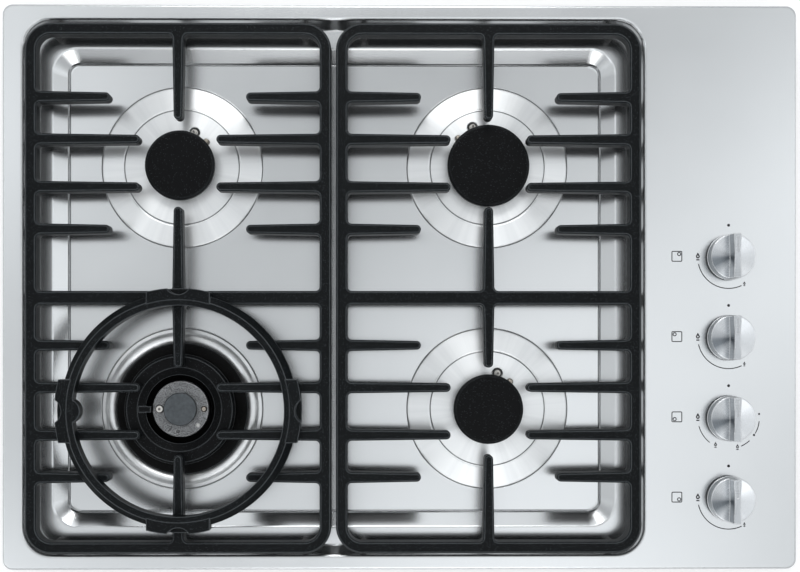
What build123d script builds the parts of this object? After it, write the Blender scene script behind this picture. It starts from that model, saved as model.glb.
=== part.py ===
"""Four-burner gas cooktop, 76 cm wide, built in at worktop height.

A pressed steel top with a sunken well carries three round burners and a wok burner.
Two cast grates and a loose wok ring lie over them. Four push-and-turn knobs stand on
the right. The taps, gas rail, tubes and ignition parts hang in a steel box below.
Millimetres. z = 0 is the underside of the box, +Y is the rear, +X is the knob side.
"""

import math
import os

from build123d import *

os.makedirs("parts", exist_ok=True)

# ---------------------------------------------------------------- driving sizes
plate_w = 762.0  # whole top, left to right
plate_d = 542.0  # whole top, front to rear
plate_corner_r = 10.0
sheet = 1.0  # pressed steel
flange_top = 57.0  # top face of the rim, above the underside of the box
skirt_h = 4.4  # folded edge of the rim
seal_proud = 0.4  # foam seal below the folded edge
seal_side = 0.5
rim_r = 2.2  # bend at the top of the folded edge

# the sunken well and its three levels
margin_left = 19.5
margin_right = 146.5  # the control panel
margin_end = 13.7  # front and rear
well_corner_r = 27.5
wall_run = 9.0
ledge_drop = 9.0
ledge_w = 17.5
slope_run = 14.5
floor_drop = 9.0  # from the ledge to the floor
slope_corner_r = 24.0
floor_corner_r = 13.0
press_r = 3.0  # rounding of the pressed bends
edge_r = 4.5  # rounding of the well's upper edge

# burners
burner_pitch_y = 234.0
burner_spread = 1.65  # each burner sits this far outside its grate's middle line
semi_cap_r = 33.5
rapid_cap_r = 39.4
disc_r = 78.3  # pressed disc round a burner
disc_inner_r = 55.4
disc_step = 0.8
disc_step_w = 1.5
disc_rise = 3.0
cap_top = flange_top + 0.4
cap_t = 5.9
cap_round = 2.6
crown_inset = 2.5  # flame ring inside the cap's edge
hole_inset = 6.0  # hole in the steel top, inside the cap's edge
crown_wall = 7.0
port_w = 1.6
port_h = 4.0
port_pitch = 7.0
cup_bottom = 12.0
cup_wall = 2.5
cup_inset = 3.0  # cup inside the hole in the steel top
pedestal_r = 9.0
cap_collar_h = 3.0  # ring under a cap that drops into the flame ring
cap_collar_w = 2.0
stub_r = 7.0  # stub that takes the gas tube
stub_l = 12.0
base_flange_t = 2.5
base_flange_w = 9.0

# wok burner
bead_r = 78.7  # ring bead pressed round the wok burner
bead_inner_r = 64.2
bead_rise = 3.4
bead_shoulder = 4.5  # flat step outside the bead
wok_cap_r = 53.2
wok_cap_top_inner_r = 40.3
wok_cap_inner_r = 33.0
wok_crown_r = 50.4
wok_core_r = 27.2
wok_core_top = 50.0
wok_centre_cap_r = 15.8
wok_centre_cap_top = 55.4
wok_cup_r = 44.0
wok_pedestal_r = 16.0
wok_flange_t = 4.0
wok_flange_w = 6.0
wok_stub_r = 5.0
wok_core_edge = 0.8
wok_spots = 21.7  # radius of the slots and screws round the centre cap
wok_hole_r = 2.2
wok_slot_l = 6.5
wok_slot_w = 2.6
wok_pocket = 3.0
wok_slot_angle = 117.0  # from +X, one slot towards the rear and one towards the front
wok_slot_turn = 60.0
wok_hole_angle = -97.0
wok_screw_angle = -43.0
wok_electrode_spot = 20.4
wok_sensor_spot = 22.4
wok_screw_spot = 22.9
wok_electrode_r = 3.8
wok_electrode_pin_r = 1.1
wok_electrode_pin_h = 1.4
wok_sensor_proud = 2.0
bridge_w = 5.8
bridge_drop = 0.6  # bridge below the top of the ring cap
wok_cap_lip = 1.2
wok_crown_inset = 3.0

# electrode and flame sensor beside each burner
electrode_r = 4.1
electrode_hole_clear = 1.1  # dark gap round it in the steel top
electrode_neck_r = 2.4
electrode_tip_r = 1.0
electrode_gap = 2.2  # from the cap's edge to the electrode's axis
electrode_body_h = 24.0  # ceramic body under the deck
electrode_neck_h = 4.5
electrode_tip_h = 3.2
electrode_proud = 0.3
sensor_r = 2.6
sensor_gap = 0.6
sensor_h = 27.0
sensor_proud = 5.0
small_clear = 0.4

# grates
grate_gap = 4.4  # between the two grates
grate_inset_x = 7.4  # from the well's rim to the grate's outer edge
grate_inset_y = 7.3
grate_shift_y = -2.0
finger_shift = 1.0  # rows of fingers, against the middle of the grate
grate_rise = 20.0  # grate top above the rim
bar_h = 14.0
bar_w = 11.0
crossbar_w = 13.0
crossbar_shift = -9.0
grate_corner_r = 25.5
grate_inner_r = 14.0
finger_root_w = 11.0
finger_tip_w = 8.3
finger_row_inner = 22.4  # long fingers, each side of the burner
finger_row_outer = 62.3  # short fingers
long_tip = 36.0  # from the burner's middle to the end of a long finger
short_tip = 64.0
end_tip = 41.2  # the fingers that run front to rear
grate_fillet = 4.0
grate_edge = 1.3
foot_r = 3.2  # rubber feet, pressed into the underside of the end bars
foot_edge = 0.6
foot_inset_x = 26.0
foot_inset_y = 2.2  # feet stand this far inside the middle line of the end bars

# wok ring
ring_outer_r = 110.5
ring_band_w = 12.1  # the ring, across
ring_ridge_in = 5.9  # from its outer edge to the ridge
ring_h = 15.0
ring_band_drop = 1.4
ring_outer_drop = 8.0
pad_proud = 4.1  # the pads stand out from the ring's edge
pad_w = 59.0
scoop_w = 21.5
scoop_depth = 6.2
scoop_floor = 4.0
bulge_depth = 7.2
ring_shift_x = 4.0  # the ring lies this far right of the wok burner

# knobs and taps
knob_inset = 65.7  # knob axis from the right edge of the top
knob_pitch = 77.1
knob_row_y = -87.0
knob_r = 21.4
knob_lip = 0.5
knob_lip_h = 1.8
knob_gap = 3.8  # under the knob, for its push
knob_push = 3.0
knob_h = 12.0  # disc part
grip_h = 14.0
grip_w = 7.4
grip_waist = 1.2
grip_edge = 0.7
grip_inset = 0.6  # ends of the grip inside the edge of the disc
knob_wall = 3.0
boss_r = 7.0
pointer_l = 15.0
pointer_w = 2.0
pointer_depth = 0.8
spindle_r = 4.0
spindle_hole_clear = 1.0
fit_clear = 0.05
plug_r = 7.0
tap_size = 26.0
tap_bottom = 8.0
tap_top = 44.0
tap_corner_r = 3.0
tap_floor = 5.0  # metal under the plug
plug_rise = 2.0
spindle_lift = 10.0  # from the bottom of the plug to the bottom of the spindle
spindle_end = 1.0
knob_edge = 0.8
neck_r = 10.0
neck_h = 7.0
seal_r = 13.0
seal_h = 2.0

# gas rail, tubes, inlet
rail_size = 14.0
rail_z = 33.0
rail_bore_r = 5.0
rail_corner_r = 2.0
tube_r = 4.0
tube_bore_r = 3.0
tube_z = 26.0
low_tube_z = 16.5
tube_bend_r = 18.0
riser_from_tap = 57.3  # where the tubes turn towards the right burners
wok_riser_from_tap = 35.3
left_riser_from_burner = 98.55  # where they turn towards the left burners
wok_lane = -62.0
injector_r = 4.0
injector_h = 6.0
outlet_l = 5.0
outlet_r = 5.0
inlet_r = 10.48  # half-inch gas thread
inlet_bore_r = 7.0
inlet_from_rear = 28.5
inlet_from_knob = 20.0
inlet_bottom = 2.0
inlet_thread_l = 18.0
inlet_neck_r = 9.4  # undercut between the thread and the nut
inlet_nut_r = 14.0

# box
box_clear = 2.5  # between the well's rim and the box wall
box_overlap_x = 17.0
box_corner_r = 20.0
box_sheet = 0.8
notch_w = 56.0
notch_d = 56.0
notch_h = 22.0
vent_w = 4.0
vent_l = 60.0
vent_pitch = 14.0
vent_inset_x = 98.0  # from the well's side to the middle of the side groups of vents
vent_inset_y = 108.0

# cable gland and worktop clamps
gland_from_notch = 62.0
gland_z = 14.0
gland_r = 8.0
gland_bore_r = 4.2
gland_nut_r = 10.5
gland_nut_h = 7.0
gland_tail = 4.0
clamp_inset = 80.5  # from the front and rear of the box to the clamps
clamp_w = 18.0
clamp_t = 2.0
clamp_reach = 14.0
clamp_low = 8.0
clamp_high = 22.0
clamp_screw_z = 14.0
clamp_screw_r = 2.0
screw_fit = 0.1
screw_head_r = 3.6
screw_head_h = 2.4
screw_tail = 6.0

# electrics
module_w, module_d, module_h = 44.0, 62.0, 22.0
module_corner_r = 4.0
module_edge = 2.0
module_from_knob_x = 30.0
module_from_knob_y = 100.0
module_post_r = 3.0
module_post_h = 5.0
module_post_pitch = 13.0
terminal_w, terminal_d, terminal_h = 46.0, 34.0, 26.0
terminal_corner_r = 3.0
terminal_gap = 4.0
terminal_lid = 2.0
terminal_bore = 10.0

# ---------------------------------------------------------------- derived sizes
well_w = plate_w - margin_left - margin_right
well_d = plate_d - 2 * margin_end
well_x = (margin_left - margin_right) / 2
ledge_top = flange_top - ledge_drop
floor_top = ledge_top - floor_drop
deck = floor_top + disc_rise
burner_y = burner_pitch_y / 2
grate_w = (well_w - grate_gap) / 2 - grate_inset_x
grate_d = well_d - 2 * grate_inset_y
grate_x = (grate_w + grate_gap) / 2
burner_x = grate_x + burner_spread
grate_top = flange_top + grate_rise
grate_bottom = grate_top - bar_h
ring_top = grate_top + ring_h
ring_inner_r = ring_outer_r - ring_band_w
ring_ridge_r = ring_outer_r - ring_ridge_in
pad_r = ring_outer_r + pad_proud
knob_x = plate_w / 2 - knob_inset
knob_bottom = flange_top + knob_gap
knob_face = knob_bottom + knob_h
knob_top = knob_face + grip_h
box_w = plate_w - 2 * box_overlap_x
box_d = well_d + 2 * box_clear
vent_reach_x = well_w / 2 - vent_inset_x
vent_reach_y = well_d / 2 - vent_inset_y
clamp_y = box_d / 2 - clamp_inset
worktop = flange_top - skirt_h - seal_proud  # the top lies on the worktop at this height
cap_bottom = cap_top - cap_t
seat = deck + 0.5  # where a flame ring sits on its burner base
wok_deck = floor_top + 0.8
plug_bottom = tap_bottom + tap_floor
plug_top = tap_top + plug_rise
spindle_bottom = plug_bottom + spindle_lift
tube_start = knob_x - tap_size / 2 - outlet_l
riser_x = tube_start - riser_from_tap
wok_riser_x = tube_start - wok_riser_from_tap
left_riser_x = well_x - burner_x + left_riser_from_burner
notch_x = box_w / 2 - notch_w / 2
notch_y = box_d / 2 - notch_d / 2
gland_x = notch_x - gland_from_notch
inlet_x = knob_x + inlet_from_knob
inlet_y = box_d / 2 - inlet_from_rear
rail_x = knob_x + tap_size / 2 + rail_size / 2
terminal_y = box_d / 2 - box_sheet - terminal_d / 2 - terminal_gap

burners = {
    "rear_left": (well_x - burner_x, burner_y, semi_cap_r, 70, 46),
    "rear_right": (well_x + burner_x, burner_y, rapid_cap_r, 110, 135),
    "front_right": (well_x + burner_x, -burner_y, semi_cap_r, 74, 50),
}
wok_x = well_x - burner_x
wok_y = -burner_y
ring_x = wok_x + ring_shift_x
knob_rows = [knob_row_y + (1.5 - i) * knob_pitch for i in range(4)]


def save(piece, name):
    """Label one finished piece and write it."""
    piece.label = name
    export_step(piece, f"parts/{name}.step")


def upright(x, y):
    """A plane through a vertical axis: its x is the radius, its y is the height."""
    return Plane(origin=(x, y, 0), x_dir=(1, 0, 0), z_dir=(0, -1, 0))


def vertical(x, y):
    return Axis((x, y, 0), (0, 0, 1))


def at(x, y, z):
    return Plane(origin=(x, y, z))


def around(radius, angle):
    """Offset of a point on a circle round a burner, angle in degrees."""
    return radius * math.cos(math.radians(angle)), radius * math.sin(math.radians(angle))


def well_block(grow):
    """The room inside the well, grown on all sides to make the steel round it."""
    with BuildPart() as block:
        with BuildSketch(at(well_x, 0, ledge_top - grow)):
            RectangleRounded(
                well_w - 2 * wall_run + 2 * grow, well_d - 2 * wall_run + 2 * grow,
                well_corner_r - wall_run + grow,
            )
        with BuildSketch(at(well_x, 0, flange_top)):
            RectangleRounded(well_w + 2 * grow, well_d + 2 * grow, well_corner_r + grow)
        loft()
        inset = 2 * (wall_run + ledge_w)
        with BuildSketch(at(well_x, 0, floor_top - grow)):
            RectangleRounded(
                well_w - inset - 2 * slope_run + 2 * grow, well_d - inset - 2 * slope_run + 2 * grow,
                floor_corner_r + grow,
            )
        with BuildSketch(at(well_x, 0, ledge_top - grow)):
            RectangleRounded(well_w - inset + 2 * grow, well_d - inset + 2 * grow, slope_corner_r + grow)
        loft()
        if grow == 0:
            bends = block.edges().filter_by(lambda e: e.bounding_box().size.Z < 1e-6)
            fillet(bends.filter_by(lambda e: e.center().Z < flange_top - 1), press_r)
    return block.part


# ---------------------------------------------------------------- top plate
with BuildPart() as top_plate:
    with BuildSketch(at(0, 0, flange_top)):
        RectangleRounded(plate_w, plate_d, plate_corner_r)
    extrude(amount=-skirt_h)
    fillet(top_plate.faces().sort_by(Axis.Z)[-1].edges(), rim_r)
    with BuildSketch(at(0, 0, flange_top - skirt_h)):
        RectangleRounded(plate_w - 2 * sheet, plate_d - 2 * sheet, plate_corner_r - sheet)
    extrude(amount=skirt_h - sheet, mode=Mode.SUBTRACT)
    add(well_block(sheet))
    add(well_block(0), mode=Mode.SUBTRACT)
    on_rim = top_plate.edges().filter_by(lambda e: e.bounding_box().size.Z < 1e-6 and e.center().Z > flange_top - 1e-3)
    fillet(on_rim.filter_by(lambda e: abs(e.center().Y) < well_d / 2 + 1 and e.center().X < well_x + well_w / 2 + 1
                            and e.center().X > well_x - well_w / 2 - 1), edge_r)
    # the pressed disc round each burner, in two small steps
    for x, y, cap_r, electrode_angle, sensor_angle in burners.values():
        with BuildSketch(at(x, y, floor_top)):
            Circle(disc_r + sheet)
        extrude(amount=-sheet, mode=Mode.SUBTRACT)
        with BuildSketch(upright(x, y)):
            with BuildLine():
                Polyline(
                    (disc_r + 2 * sheet, floor_top),
                    (disc_r, floor_top),
                    (disc_r - disc_step_w, floor_top + disc_step),
                    (disc_inner_r + disc_step_w, deck - disc_step),
                    (disc_inner_r, deck),
                    (cap_r - hole_inset, deck),
                    (cap_r - hole_inset, deck - sheet),
                    (disc_inner_r, deck - sheet),
                    (disc_inner_r + disc_step_w, deck - disc_step - sheet),
                    (disc_r - disc_step_w, floor_top + disc_step - sheet),
                    (disc_r, floor_top - sheet),
                    (disc_r + 2 * sheet, floor_top - sheet),
                    close=True,
                )
            make_face()
        revolve(axis=vertical(x, y))
        electrode = around(cap_r + electrode_gap, electrode_angle)
        sensor = around(cap_r + sensor_gap, sensor_angle)
        with BuildSketch(at(x, y, deck)):
            with Locations(electrode):
                Circle(electrode_r + electrode_hole_clear)
            with Locations(sensor):
                Circle(sensor_r + small_clear)
        extrude(amount=-sheet, mode=Mode.SUBTRACT)
    # the ring bead round the wok burner
    with BuildSketch(at(wok_x, wok_y, floor_top)):
        Circle(bead_r + sheet)
    extrude(amount=-sheet, mode=Mode.SUBTRACT)
    bead_shoulder_r = bead_r - bead_shoulder
    bead_crest_r = (bead_shoulder_r + bead_inner_r) / 2
    with BuildSketch(upright(wok_x, wok_y)):
        with BuildLine():
            Polyline(
                (bead_inner_r, floor_top + sheet),
                (bead_inner_r, floor_top),
                (bead_shoulder_r, floor_top),
                (bead_r - sheet, floor_top),
                (bead_r, floor_top - sheet),
                (bead_r + 2 * sheet, floor_top - sheet),
                (bead_r + 2 * sheet, floor_top),
                (bead_r, floor_top),
                (bead_r - sheet, floor_top + sheet),
                (bead_shoulder_r, floor_top + sheet),
            )
            ThreePointArc(
                (bead_shoulder_r, floor_top + sheet),
                (bead_crest_r, floor_top + bead_rise),
                (bead_inner_r, floor_top + sheet),
            )
        make_face()
    revolve(axis=vertical(wok_x, wok_y))
    # holes for the four spindles
    with BuildSketch(at(knob_x, 0, flange_top)):
        with Locations(*[(0, y) for y in knob_rows]):
            Circle(spindle_r + spindle_hole_clear)
    extrude(amount=-sheet, mode=Mode.SUBTRACT)
save(top_plate.part, "top_plate")

# ---------------------------------------------------------------- flange seal and box
with BuildPart() as flange_seal:
    with BuildSketch(at(0, 0, worktop)):
        seal_inset = 2 * (sheet + seal_side)
        RectangleRounded(plate_w - seal_inset, plate_d - seal_inset, plate_corner_r - sheet)
        RectangleRounded(box_w + 2 * seal_side, box_d + 2 * seal_side, box_corner_r, mode=Mode.SUBTRACT)
    extrude(amount=flange_top - sheet - worktop)
save(flange_seal.part, "flange_seal")

with BuildPart() as burner_box:
    with BuildSketch(at(0, 0, 0)):
        RectangleRounded(box_w, box_d, box_corner_r)
    extrude(amount=flange_top - sheet)
    with BuildSketch(at(0, 0, box_sheet)):
        RectangleRounded(box_w - 2 * box_sheet, box_d - 2 * box_sheet, box_corner_r - box_sheet)
    extrude(amount=flange_top, mode=Mode.SUBTRACT)
    # raised corner over the gas connection
    with BuildSketch(at(notch_x, notch_y, 0)):
        Rectangle(notch_w, notch_d)
    extrude(amount=notch_h + box_sheet)
    with BuildSketch(at(notch_x + box_sheet, notch_y + box_sheet, 0)):
        Rectangle(notch_w, notch_d)
    extrude(amount=notch_h, mode=Mode.SUBTRACT)
    with BuildSketch(at(box_w / 2, box_d / 2, 0)):
        Rectangle(2 * box_corner_r, 2 * box_corner_r)
        with Locations((-box_corner_r, -box_corner_r)):
            Circle(box_corner_r, mode=Mode.SUBTRACT)
            Rectangle(box_corner_r, 4 * box_corner_r, align=(Align.MAX, Align.CENTER), mode=Mode.SUBTRACT)
            Rectangle(4 * box_corner_r, box_corner_r, align=(Align.CENTER, Align.MAX), mode=Mode.SUBTRACT)
    extrude(amount=flange_top, mode=Mode.SUBTRACT)
    with BuildSketch(at(inlet_x, inlet_y, 0)):
        Circle(inlet_r + small_clear)
    extrude(amount=notch_h + box_sheet, mode=Mode.SUBTRACT)
    # vents under each burner
    with BuildSketch(at(well_x, 0, 0)):
        with Locations((0, vent_reach_y), (0, 0), (0, -vent_reach_y), (vent_reach_x, 0), (-vent_reach_x, 0)):
            with GridLocations(0, vent_pitch, 1, 4):
                SlotOverall(vent_l, vent_w)
    extrude(amount=box_sheet, mode=Mode.SUBTRACT)
    # cable gland hole in the rear wall, screw holes for the clamps in the side walls
    with BuildSketch(Plane(origin=(gland_x, box_d / 2, gland_z), x_dir=(-1, 0, 0), z_dir=(0, 1, 0))):
        Circle(gland_r)
    extrude(amount=-box_sheet, mode=Mode.SUBTRACT)
    with BuildSketch(Plane(origin=(0, 0, clamp_screw_z), x_dir=(0, 1, 0), z_dir=(1, 0, 0))):
        with Locations((-clamp_y, 0), (clamp_y, 0)):
            Circle(clamp_screw_r)
    extrude(amount=box_w, both=True, mode=Mode.SUBTRACT)

# it is welded from a flat floor and a band of walls
for name, low, high in (("box_floor", 0, box_sheet), ("box_walls", box_sheet, flange_top)):
    with BuildPart() as half:
        add(burner_box.part)
        with BuildSketch(at(0, 0, low)):
            Rectangle(box_w, box_d)
        extrude(amount=high - low, mode=Mode.INTERSECT)
    save(half.part, name)

# ---------------------------------------------------------------- round burners
for place, (x, y, cap_r, electrode_angle, sensor_angle) in burners.items():
    hole_r = cap_r - hole_inset
    cup_r = hole_r - cup_inset
    crown_r = cap_r - crown_inset
    electrode = around(cap_r + electrode_gap, electrode_angle)
    sensor = around(cap_r + sensor_gap, sensor_angle)

    with BuildPart() as burner_base:
        with BuildSketch(upright(x, y)):
            with BuildLine():
                Polyline(
                    (0, cup_bottom),
                    (cup_r, cup_bottom),
                    (cup_r, deck - sheet - base_flange_t),
                    (hole_r + base_flange_w, deck - sheet - base_flange_t),
                    (hole_r + base_flange_w, deck - sheet),
                    (hole_r - small_clear, deck - sheet),
                    (hole_r - small_clear, seat),
                    (cup_r - cup_wall, seat),
                    (cup_r - cup_wall, cup_bottom + cup_wall),
                    (0, cup_bottom + cup_wall),
                    close=True,
                )
            make_face()
        revolve(axis=vertical(x, y))
        with BuildSketch(at(x, y, box_sheet)):
            Circle(pedestal_r)
        extrude(amount=cup_bottom - box_sheet)
        with BuildSketch(Plane(origin=(x + cup_r - 1, y, tube_z), x_dir=(0, 1, 0), z_dir=(1, 0, 0))):
            Circle(stub_r)
        extrude(amount=stub_l + 1)
        with BuildSketch(at(x, y, deck)):
            with Locations(electrode):
                Circle(electrode_r + small_clear)
            with Locations(sensor):
                Circle(sensor_r + small_clear)
        extrude(amount=-flange_top / 2, mode=Mode.SUBTRACT)
    save(burner_base.part, f"burner_base_{place}")

    with BuildPart() as flame_ring:
        with BuildSketch(at(x, y, seat)):
            Circle(crown_r)
            Circle(crown_r - crown_wall, mode=Mode.SUBTRACT)
        extrude(amount=cap_bottom - seat)
        ports = int(2 * math.pi * crown_r / port_pitch)
        with BuildSketch(at(x, y, cap_bottom)):
            with PolarLocations(crown_r - crown_wall / 2, ports):
                Rectangle(2 * crown_wall, port_w)
        extrude(amount=-port_h, mode=Mode.SUBTRACT)
    save(flame_ring.part, f"flame_ring_{place}")

    with BuildPart() as cap:
        with BuildSketch(at(x, y, cap_bottom)):
            Circle(cap_r)
        extrude(amount=cap_t)
        fillet(cap.faces().sort_by(Axis.Z)[-1].edges(), cap_round)
        with BuildSketch(at(x, y, cap_bottom)):
            Circle(crown_r - crown_wall - small_clear)
            Circle(crown_r - crown_wall - small_clear - cap_collar_w, mode=Mode.SUBTRACT)
        extrude(amount=-cap_collar_h)
    save(cap.part, f"burner_cap_{place}")

    ex, ey = electrode
    with BuildPart() as electrode_body:
        electrode_top = deck + electrode_proud
        with BuildSketch(at(x + ex, y + ey, electrode_top)):
            Circle(electrode_r)
        extrude(amount=-electrode_body_h)
        with BuildSketch(at(x + ex, y + ey, electrode_top)):
            Circle(electrode_neck_r)
        extrude(amount=electrode_neck_h)
        with BuildSketch(at(x + ex, y + ey, electrode_top + electrode_neck_h)):
            Circle(electrode_tip_r)
        extrude(amount=electrode_tip_h)
    save(electrode_body.part, f"electrode_{place}")

    sx, sy = sensor
    with BuildPart() as flame_sensor:
        with BuildSketch(at(x + sx, y + sy, deck + sensor_proud)):
            Circle(sensor_r)
        extrude(amount=-sensor_h)
        fillet(flame_sensor.faces().sort_by(Axis.Z)[-1].edges(), sensor_r / 2)
    save(flame_sensor.part, f"flame_sensor_{place}")

# ---------------------------------------------------------------- wok burner
electrode = around(wok_electrode_spot, 180)
sensor = around(wok_sensor_spot, 0)
screw = around(wok_screw_spot, wok_screw_angle)
with BuildPart() as wok_base:
    with BuildSketch(upright(wok_x, wok_y)):
        with BuildLine():
            Polyline(
                (0, cup_bottom),
                (wok_cup_r, cup_bottom),
                (wok_cup_r, floor_top - sheet - wok_flange_t),
                (bead_inner_r + wok_flange_w, floor_top - sheet - wok_flange_t),
                (bead_inner_r + wok_flange_w, floor_top - sheet),
                (bead_inner_r - small_clear, floor_top - sheet),
                (bead_inner_r - small_clear, wok_deck),
                (wok_cup_r - cup_wall, wok_deck),
                (wok_cup_r - cup_wall, cup_bottom + cup_wall),
                (wok_core_r - cup_wall, cup_bottom + cup_wall),
                (wok_core_r - cup_wall, wok_deck),
                (wok_core_r - 2 * cup_wall, wok_deck),
                (wok_core_r - 2 * cup_wall, cup_bottom + cup_wall),
                (0, cup_bottom + cup_wall),
                close=True,
            )
        make_face()
    revolve(axis=vertical(wok_x, wok_y))
    with BuildSketch(at(wok_x, wok_y, box_sheet)):
        Circle(wok_pedestal_r)
    extrude(amount=cup_bottom - box_sheet)
    for z in (tube_z, low_tube_z):
        with BuildSketch(Plane(origin=(wok_x + wok_cup_r - 1, wok_y, z), x_dir=(0, 1, 0), z_dir=(1, 0, 0))):
            Circle(wok_stub_r)
        extrude(amount=stub_l + 1)
save(wok_base.part, "wok_base")

with BuildPart() as wok_flame_ring:
    with BuildSketch(at(wok_x, wok_y, wok_deck)):
        Circle(wok_crown_r)
        Circle(wok_cap_inner_r + wok_crown_inset, mode=Mode.SUBTRACT)
    extrude(amount=cap_bottom - wok_deck)
    ports = int(2 * math.pi * wok_crown_r / port_pitch)
    with BuildSketch(at(wok_x, wok_y, cap_bottom)):
        with PolarLocations(wok_crown_r, ports):
            Rectangle(crown_wall, port_w)
    extrude(amount=-port_h, mode=Mode.SUBTRACT)
save(wok_flame_ring.part, "wok_flame_ring")

with BuildPart() as wok_ring_cap:
    with BuildSketch(upright(wok_x, wok_y)):
        with BuildLine():
            Polyline(
                (wok_cap_inner_r, cap_bottom),
                (wok_cap_r, cap_bottom),
                (wok_cap_r, cap_top - cap_round),
                (wok_cap_r - cap_round, cap_top),
                (wok_cap_top_inner_r, cap_top),
                (wok_cap_inner_r, cap_bottom + wok_cap_lip),
                close=True,
            )
        make_face()
    revolve(axis=vertical(wok_x, wok_y))
    with BuildSketch(at(wok_x, wok_y, cap_bottom)):
        with Locations((-wok_core_r - small_clear, 0)):
            Rectangle(
                wok_cap_top_inner_r - wok_core_r + 2, bridge_w,
                align=(Align.MAX, Align.CENTER),
            )
    extrude(amount=cap_t - bridge_drop)
save(wok_ring_cap.part, "wok_ring_cap")

with BuildPart() as wok_core:
    with BuildSketch(at(wok_x, wok_y, wok_deck)):
        Circle(wok_core_r)
    extrude(amount=wok_core_top - wok_deck)
    chamfer(wok_core.faces().sort_by(Axis.Z)[-1].edges(), wok_core_edge)
    with BuildSketch(at(wok_x, wok_y, wok_core_top)):
        with Locations(electrode):
            Circle(wok_electrode_r + small_clear)
        with Locations(sensor):
            Circle(sensor_r + small_clear)
    extrude(amount=wok_deck - wok_core_top, mode=Mode.SUBTRACT)
    with BuildSketch(at(wok_x, wok_y, wok_core_top)):
        with Locations(around(wok_spots, wok_slot_angle)):
            SlotOverall(wok_slot_l, wok_slot_w, rotation=-wok_slot_turn)
        with Locations(around(wok_spots, -wok_slot_angle)):
            SlotOverall(wok_slot_l, wok_slot_w, rotation=wok_slot_turn)
        with Locations(around(wok_spots, wok_hole_angle), screw):
            Circle(wok_hole_r)
    extrude(amount=-wok_pocket, mode=Mode.SUBTRACT)
save(wok_core.part, "wok_core")

with BuildPart() as wok_centre_cap:
    with BuildSketch(at(wok_x, wok_y, wok_core_top)):
        Circle(wok_centre_cap_r)
    extrude(amount=wok_centre_cap_top - wok_core_top)
    fillet(wok_centre_cap.faces().sort_by(Axis.Z)[-1].edges(), wok_core_edge)
save(wok_centre_cap.part, "wok_centre_cap")

ex, ey = electrode
with BuildPart() as wok_electrode:
    with BuildSketch(at(wok_x + ex, wok_y + ey, wok_deck)):
        Circle(wok_electrode_r)
    extrude(amount=wok_core_top + wok_core_edge - wok_deck)
    with BuildSketch(at(wok_x + ex, wok_y + ey, wok_core_top + wok_core_edge)):
        Circle(wok_electrode_pin_r)
    extrude(amount=wok_electrode_pin_h)
save(wok_electrode.part, "electrode_wok")

sx, sy = sensor
with BuildPart() as wok_sensor:
    with BuildSketch(at(wok_x + sx, wok_y + sy, wok_deck)):
        Circle(sensor_r)
    extrude(amount=wok_core_top + wok_sensor_proud - wok_deck)
    fillet(wok_sensor.faces().sort_by(Axis.Z)[-1].edges(), sensor_r / 2)
save(wok_sensor.part, "flame_sensor_wok")

# ---------------------------------------------------------------- grates


def finger(root, tip, along):
    """Outline of one finger: wide at the bar, narrower and round at its end."""
    (x0, y0), (x1, y1) = root, tip
    ux, uy = along
    half0, half1 = finger_root_w / 2, finger_tip_w / 2
    end_x, end_y = x1 - ux * half1, y1 - uy * half1
    with BuildSketch() as outline:
        with BuildLine():
            ThreePointArc(
                (end_x - uy * half1, end_y + ux * half1),
                (x1, y1),
                (end_x + uy * half1, end_y - ux * half1),
            )
            Polyline(
                (end_x + uy * half1, end_y - ux * half1),
                (x0 + uy * half0, y0 - ux * half0),
                (x0 - uy * half0, y0 + ux * half0),
                (end_x - uy * half1, end_y + ux * half1),
            )
        make_face()
    return outline.sketch


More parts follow.
